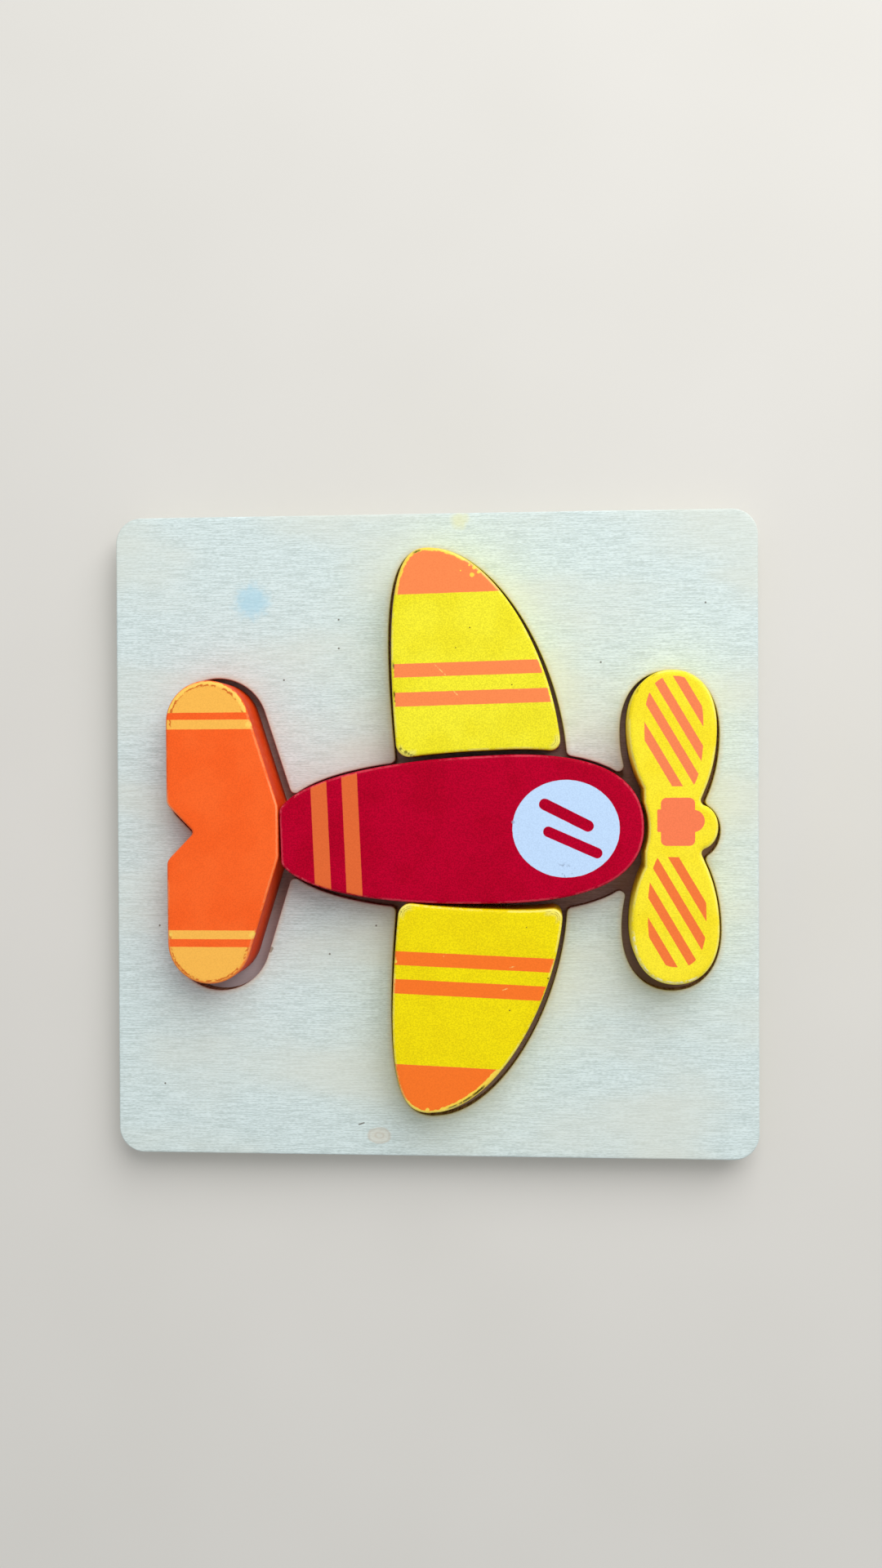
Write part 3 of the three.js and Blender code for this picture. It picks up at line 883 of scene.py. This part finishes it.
def hub_badge(s):
    """A plain rounded badge with a small step behind it and a round lobe in front."""
    body = from_box(s, 51.95, 59.55, -2.0, 8.8, corner=1.3)
    behind = from_box(s, 51.15, 53.0, 1.1, 6.2, corner=0.3)
    lobe = from_point(s, 59.2, 3.6) - 2.5
    return inside(body.least(behind).least(lobe) + s.ragged * 0.1)


def propeller_finish():
    """Yellow paint with the bars of both blades, the badge, and the wear of the blades' edges."""
    s = start_finish("propeller_paint")
    paint_ground(s)
    scuffs = band(s.rim + s.ragged * 0.7, 0.3, 0.8, 0.12) * step(s.ragged, -0.1, 0.06)
    bared = band(s.rim + s.ragged * 0.4, 0.2, 0.5, 0.1) * step(s.drift + s.ragged * 0.8, -0.06, 0.08)
    prints = [
        (UPPER_INK, blade_bars(s, UPPER_BLADE)),
        (LOWER_INK, blade_bars(s, LOWER_BLADE)),
        (BADGE_INK, hub_badge(s)),
        (SCUFF_CREAM, spots(s, LOW_EDGE, 1.0) * scuffs),
        (NICK_OLIVE, spots(s, LOW_EDGE + TOP_EDGE, 0.8) * bared * 0.6),
        (SPECK_BROWN, spots(s, PROPELLER_SPECKS) * 0.6),
    ]
    paint_piece(
        s, PROPELLER_LIGHT, PROPELLER_DEEP, prints, YELLOW_WORN_AND_HIGHLIGHT, rubbing_and_highlight=0.6, peel_tone=0.08, gloss=0.14
    )
    return s.material


PROPELLER_FINISH = propeller_finish()
print("propeller finish:", len(PROPELLER_FINISH.node_tree.nodes), "nodes")

# %% [markdown]
# ## The plywood
# The tray is pale birch plywood with its grain along the aeroplane. Stretched noise gives the grain: short
# hair-fine lines, long threads and a slow change between cool and warm patches. The sawn sides show the
# plies as level layers. Every second one lies across and looks darker, and a thin glue line parts them.

# %% Wood for both sheets of the tray
PLY_MM = 1.0
TRAY_TOP_MM = 8.0
GRAIN_DEPTH = 0.00006
CROSS_PLY = srgb(184, 160, 124)
GLUE_BROWN = srgb(116, 88, 62)


def wood_tone(s, light, deep, warm):
    """The grain of a rotary-cut birch face, as a colour and a relief."""
    hair = mottle(s, 0.2, stretch=(5, 1, 1), detail=2.0)
    thread = mottle(s, 0.26, stretch=(22, 1, 1), detail=2.0, shift=9.1)
    tone = mottle(s, 15.0, stretch=(3, 1, 1), detail=3.0, shift=4.3)
    patch = mottle(s, 24.0, stretch=(1.5, 1, 1), detail=2.0, shift=14.9)
    grain = hair * 0.5 + thread * 0.5
    colour = blend(light, deep, step(grain, 0.38, 0.63))
    colour = blend(colour, warm, step(tone * 0.5 + patch * 0.5, 0.4, 0.68) * 0.6)
    return colour, grain


def ply_layers(s, colour, bottom):
    """The level layers that the sawn side of plywood shows, counted from the sheet's bottom."""
    plies = (s.z - bottom) / PLY_MM
    layer = plies.math("FRACT", plies)
    pair = plies / 2
    crosswise = pair.math("FRACT", pair) > 0.5
    fibre = mottle(s, 0.4, stretch=(6, 6, 1), detail=3.0, shift=6.6)
    colour = blend(colour, CROSS_PLY, crosswise * (0.45 + 0.5 * fibre))
    glue = step(abs(layer - 0.5), 0.4, 0.5)
    return blend(colour, GLUE_BROWN, glue * 0.55)


def sawn_side(s):
    """1 on the sawn sides of a sheet, where the distance from its edge is nothing."""
    return 1 - step(s.rim, 0.02, 0.3)


def connect_wood(s, colour, relief):
    """The dry, faintly sealed surface that both sheets have."""
    bump = {"Height": relief, "Strength": 0.4, "Distance": GRAIN_DEPTH}
    inputs = {
        "Base Color": colour,
        "Roughness": 0.56 + 0.2 * relief,
        "Specular IOR Level": 0.2,
        "Normal": Wire.node(s.tree, "ShaderNodeBump", inputs=bump),
    }
    connect(s, inputs)


print("plies in the tray:", round(TRAY_TOP_MM / PLY_MM))

# %% [markdown]
# A used tray is never clean. Other colours have left two soft smudges, the veneer has a pale knot with two
# rings, and a few dark flecks and short burns lie on it. Each mark is a distance from a point or from a
# short line, so its place and size can be read off in millimetres.

# %% Marks on the tray's face
SMUDGES = [
    (srgb(166, 214, 234), -42.5, 55.0, 5.5, 0.6),
    (srgb(232, 228, 158), 6.5, 73.4, 2.8, 0.42),
]
KNOT = {"x": -13.0, "y": -70.3, "wide": 2.7, "high": 1.9}
KNOT_PALE = srgb(226, 220, 204)
KNOT_RING = srgb(196, 178, 156)
KNOT_HEART = srgb(186, 168, 146)
BURNS = [((-17.8, -67.8), (-16.6, -67.4), 0.14), ((-38.6, -27.2), (-38.2, -26.5), 0.36)]
LEFT_FLECKS = [(-22.0, 50.5), (-22.0, 43.8), (63.0, 53.5), (39.0, 40.0), (-35.0, 36.5)]
RIGHT_FLECKS = [(-65.0, -21.2), (-13.5, -21.1), (-24.5, -27.8), (-63.9, -58.6)]
FLECK_RADIUS_MM = 0.22
FLECK_BROWN = srgb(92, 80, 66)


def face_marks(s, colour, rag):
    """Smudges of colour, a pale knot, short burns and dark flecks, laid over the wood."""
    for tint, x, y, size, strength in SMUDGES:
        soft = 1 - step(from_point(s, x, y) + rag * size * 0.7, size * 0.3, size)
        colour = blend(colour, tint, soft * strength)
    ring = from_point(s, **KNOT) + rag * 0.3
    colour = blend(colour, KNOT_PALE, inside(ring - 0.9, 0.3) * 0.6)
    colour = blend(colour, KNOT_RING, band(ring, 0.85, 1.0, 0.14) * 0.5)
    colour = blend(colour, KNOT_HEART, band(ring, 0.3, 0.42, 0.1) * 0.35)
    dark = [from_bar(s, start, end) - radius for start, end, radius in BURNS]
    dark += [from_point(s, x, y) - FLECK_RADIUS_MM for x, y in LEFT_FLECKS + RIGHT_FLECKS]
    nearest = dark[0]
    for distance in dark[1:]:
        nearest = nearest.least(distance)
    return blend(colour, FLECK_BROWN, inside(nearest, 0.1) * 0.85)


print("marks:", len(SMUDGES), "smudges,", len(BURNS), "burns,", len(LEFT_FLECKS + RIGHT_FLECKS), "flecks")

# %% [markdown]
# The frame sheet has the aeroplane cut out of it. A hot cutter made the recess, so its walls are scorched
# brown, and the heat has tinted the face close to the cut. The attribute `cut` is the distance from the
# recess alone, so the tray's outer sides stay pale and show their plies.

# %% Finish the frame sheet
FRAME_LIGHT = srgb(226, 240, 239)
FRAME_DEEP = srgb(194, 208, 205)
FRAME_WARM = srgb(222, 224, 211)
HEAT_TAN = srgb(212, 198, 174)
SCORCH_DARK = srgb(118, 84, 48)
SCORCH_LIGHT = srgb(164, 130, 92)
FRAME_BOTTOM_MM = 3.0


def frame_finish():
    """Birch with marks on its face, plies on its outer sides and scorched walls in the recess."""
    s = start_finish("tray_frame_wood")
    colour, relief = wood_tone(s, FRAME_LIGHT, FRAME_DEEP, FRAME_WARM)
    cut = Wire.node(s.tree, "ShaderNodeAttribute", {"attribute_name": "cut"}, output="Fac")
    rag = mottle(s, 1.2, detail=3.0, shift=8.8) - 0.5
    colour = face_marks(s, colour, rag)
    warmed = 1 - step(cut + rag * 0.8, 0.1, 1.5)
    colour = blend(colour, HEAT_TAN, warmed * 0.45)
    away_from_cut = step(cut, 0.5, 1.0)
    colour = blend(colour, ply_layers(s, colour, FRAME_BOTTOM_MM), sawn_side(s) * away_from_cut)
    char = mottle(s, 0.6, stretch=(1, 1, 12), detail=2.0, shift=17.0)
    burnt = blend(SCORCH_DARK, SCORCH_LIGHT, step(char, 0.4, 0.65))
    below_rounding = 1 - step(s.z + rag * 0.3, TRAY_TOP_MM - 0.6, TRAY_TOP_MM - 0.15)
    scorched = (1 - step(cut, 0.02, 0.1)) * below_rounding
    colour = blend(colour, burnt, scorched)
    connect_wood(s, colour, relief)
    return s.material


FRAME_FINISH = frame_finish()
print("frame finish:", len(FRAME_FINISH.node_tree.nodes), "nodes")

# %% [markdown]
# The base sheet is seen as the floor of the recess. Its face is painted darker than pale birch as painted
# shade: brownest under the propeller, where the painted shade is deepest, and palest and coolest under the
# tail's right tip, where painted light falls. A slow noise moves the borders of these patches. Its sides and
# its underside are clean pale birch.

# %% Finish the base sheet
# The floor's own colours are painted darker than the birch as painted shade.
BASE_SHADED_LIGHT = srgb(188, 159, 149)
BASE_SHADED_DEEP = srgb(162, 134, 124)
BASE_SHADED_WARM = srgb(178, 147, 130)
# Painted shade browner towards the propeller, painted light paler at the rear and cool pale at the right tip.
FRONT_SHADE_BROWN = srgb(150, 112, 78)
REAR_PAINTED_LIGHT = srgb(214, 200, 196)
TIP_PAINTED_LIGHT = srgb(226, 224, 232)
OUTSIDE_LIGHT = srgb(222, 232, 228)
OUTSIDE_DEEP = srgb(192, 203, 198)
BASE_BOTTOM_MM = 0.0


def base_finish():
    """The floor of the recess, painted darker as shade, on a sheet with pale sides and a pale underside."""
    s = start_finish("tray_base_wood")
    colour, relief = wood_tone(s, BASE_SHADED_LIGHT, BASE_SHADED_DEEP, BASE_SHADED_WARM)
    patch_noise = mottle(s, 20.0, detail=2.0, shift=21.0) - 0.5
    along = s.x + patch_noise * 30.0
    # Painted shade towards the propeller, painted light at the rear and at the right tip.
    front = step(along, 36.0, 52.0)
    rear = 1 - step(along, -52.0, -30.0)
    lit_right_tip = rear * step(patch_noise * 10.0 - s.y, 12.0, 28.0)
    colour = blend(colour, FRONT_SHADE_BROWN, front * 0.55)
    colour = blend(colour, REAR_PAINTED_LIGHT, rear * 0.3)
    colour = blend(colour, TIP_PAINTED_LIGHT, lit_right_tip * 0.9)
    outside = (1 - step(s.rim, 0.5, 1.5)).most(1 - step(s.z, 1.0, 2.0))
    colour = blend(colour, blend(OUTSIDE_LIGHT, OUTSIDE_DEEP, relief), outside)
    colour = blend(colour, ply_layers(s, colour, BASE_BOTTOM_MM), sawn_side(s))
    connect_wood(s, colour, relief)
    return s.material


BASE_FINISH = base_finish()
print("base finish:", len(BASE_FINISH.node_tree.nodes), "nodes")

# %% [markdown]
# ## All the boards
# Now each CAD node gets its board. A piece rides on its body, so it lifts out with the joint, and it stands
# for the CAD node, which is then hidden. Painted wood is rounded more than the tray, and the propeller most.

# %% Build, place and name every board
PAINTED_ROUND_MM = 0.65
PROPELLER_ROUND_MM = 1.1
TRAY_ROUND_MM = 0.4
PAINTED_GRID_MM = 2.5
TRAY_GRID_MM = 5.0

BOARDS = [
    ("base_board", "tray_base", "tray", "tray_wood", BASE_FINISH, TRAY_ROUND_MM, TRAY_GRID_MM),
    ("frame_board", "tray_frame", "tray", "tray_wood", FRAME_FINISH, TRAY_ROUND_MM, TRAY_GRID_MM),
]
for piece, slot, finish, edge_round in (
    ("fuselage", "red_paint", FUSELAGE_FINISH, PAINTED_ROUND_MM),
    ("left_wing", "yellow_paint", LEFT_WING_FINISH, PAINTED_ROUND_MM),
    ("right_wing", "yellow_paint", RIGHT_WING_FINISH, PAINTED_ROUND_MM),
    ("tailplane", "orange_paint", TAIL_FINISH, PAINTED_ROUND_MM),
    ("propeller", "yellow_paint", PROPELLER_FINISH, PROPELLER_ROUND_MM),
):
    BOARDS.append(("painted_" + piece, piece, piece, slot, finish, edge_round, PAINTED_GRID_MM))
for name, node, body, slot, finish, edge_round, grid in BOARDS:
    board = make_board(name, node, finish, edge_round, grid)
    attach(board, body)
    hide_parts(node)

# %% [markdown]
# ## Floor, light and camera
# The puzzle lies on a plain pale floor. It is one flat square, large enough to fill the picture, and a hair
# below the tray's underside so that the two faces don't lie in the same plane.

# %% Floor
FLOOR_HALF = 3.0
FLOOR_DROP = 0.0002
FLOOR_LIGHT = srgb(226, 223, 217)
FLOOR_DEEP = srgb(219, 216, 209)
FLOOR_CORNERS = [(-1, -1), (1, -1), (1, 1), (-1, 1)]

floor_mesh = bpy.data.meshes.new("floor")
floor_points = [(x * FLOOR_HALF, y * FLOOR_HALF, -FLOOR_DROP) for x, y in FLOOR_CORNERS]
floor_mesh.from_pydata(floor_points, [], [(0, 1, 2, 3)])
floor = bpy.data.objects.new("floor", floor_mesh)
bpy.context.scene.collection.objects.link(floor)
f = start_finish("pale_floor")
floor_tone = blend(FLOOR_LIGHT, FLOOR_DEEP, mottle(f, 60.0))
connect(f, {"Base Color": floor_tone, "Roughness": 0.8, "Specular IOR Level": 0.2})
floor_mesh.materials.append(f.material)
print("floor:", 2 * FLOOR_HALF, "m wide")

# %% [markdown]
# The light is that of a big window: one wide soft lamp beyond the left wing, and an even sky that keeps the
# shaded sides from going black. Together they light a level surface so that a colour comes out about as it
# is written. The Standard view leaves it so.

# %% Light
SKY_COLOUR = (0.96, 0.98, 1.0, 1.0)
SKY_STRENGTH = 0.5
LAMP_AZIMUTH = math.radians(64)
LAMP_HEIGHT = math.radians(45)
LAMP_DISTANCE = 0.9
LAMP_SIZE = 0.8
LAMP_POWER = 6.95

world = bpy.data.worlds.new("sky")
bpy.context.scene.world = world
world.use_nodes = True
sky = world.node_tree.nodes["Background"]
sky.inputs["Color"].default_value = SKY_COLOUR
sky.inputs["Strength"].default_value = SKY_STRENGTH
lamp_data = bpy.data.lights.new("window", "AREA")
lamp_data.energy = LAMP_POWER
lamp_data.size = LAMP_SIZE
lamp = bpy.data.objects.new("window", lamp_data)
level_share = math.cos(LAMP_HEIGHT)
towards = Vector(
    (
        level_share * math.cos(LAMP_AZIMUTH),
        level_share * math.sin(LAMP_AZIMUTH),
        math.sin(LAMP_HEIGHT),
    )
)
lamp.location = towards * LAMP_DISTANCE
lamp.rotation_euler = towards.to_track_quat("Z", "Y").to_euler()
bpy.context.scene.collection.objects.link(lamp)
bpy.context.scene.view_settings.view_transform = "Standard"
print("lamp:", [round(part, 2) for part in lamp.location], "m")

# %% [markdown]
# The camera hangs over the tray as in the photo: not quite over the middle, and not quite level. Its lens,
# place and turn were fitted to the photo.

# %% Camera
LENS_MM = 34.69
SENSOR_MM = 36.0
CAMERA_PLACE = (0.02757, 0.01524, 0.35923)
CAMERA_TURN = (-0.549, 4.186, -0.256)
NEAREST_SEEN = 0.01

camera_data = bpy.data.cameras.new("camera")
camera_data.lens = LENS_MM
camera_data.sensor_width = SENSOR_MM
camera_data.clip_start = NEAREST_SEEN
camera = bpy.data.objects.new("camera", camera_data)
camera.location = CAMERA_PLACE
camera.rotation_euler = [math.radians(angle) for angle in CAMERA_TURN]
bpy.context.scene.collection.objects.link(camera)
bpy.context.scene.camera = camera
print("camera:", round(camera.location.z / MM), "mm above the tray's underside")
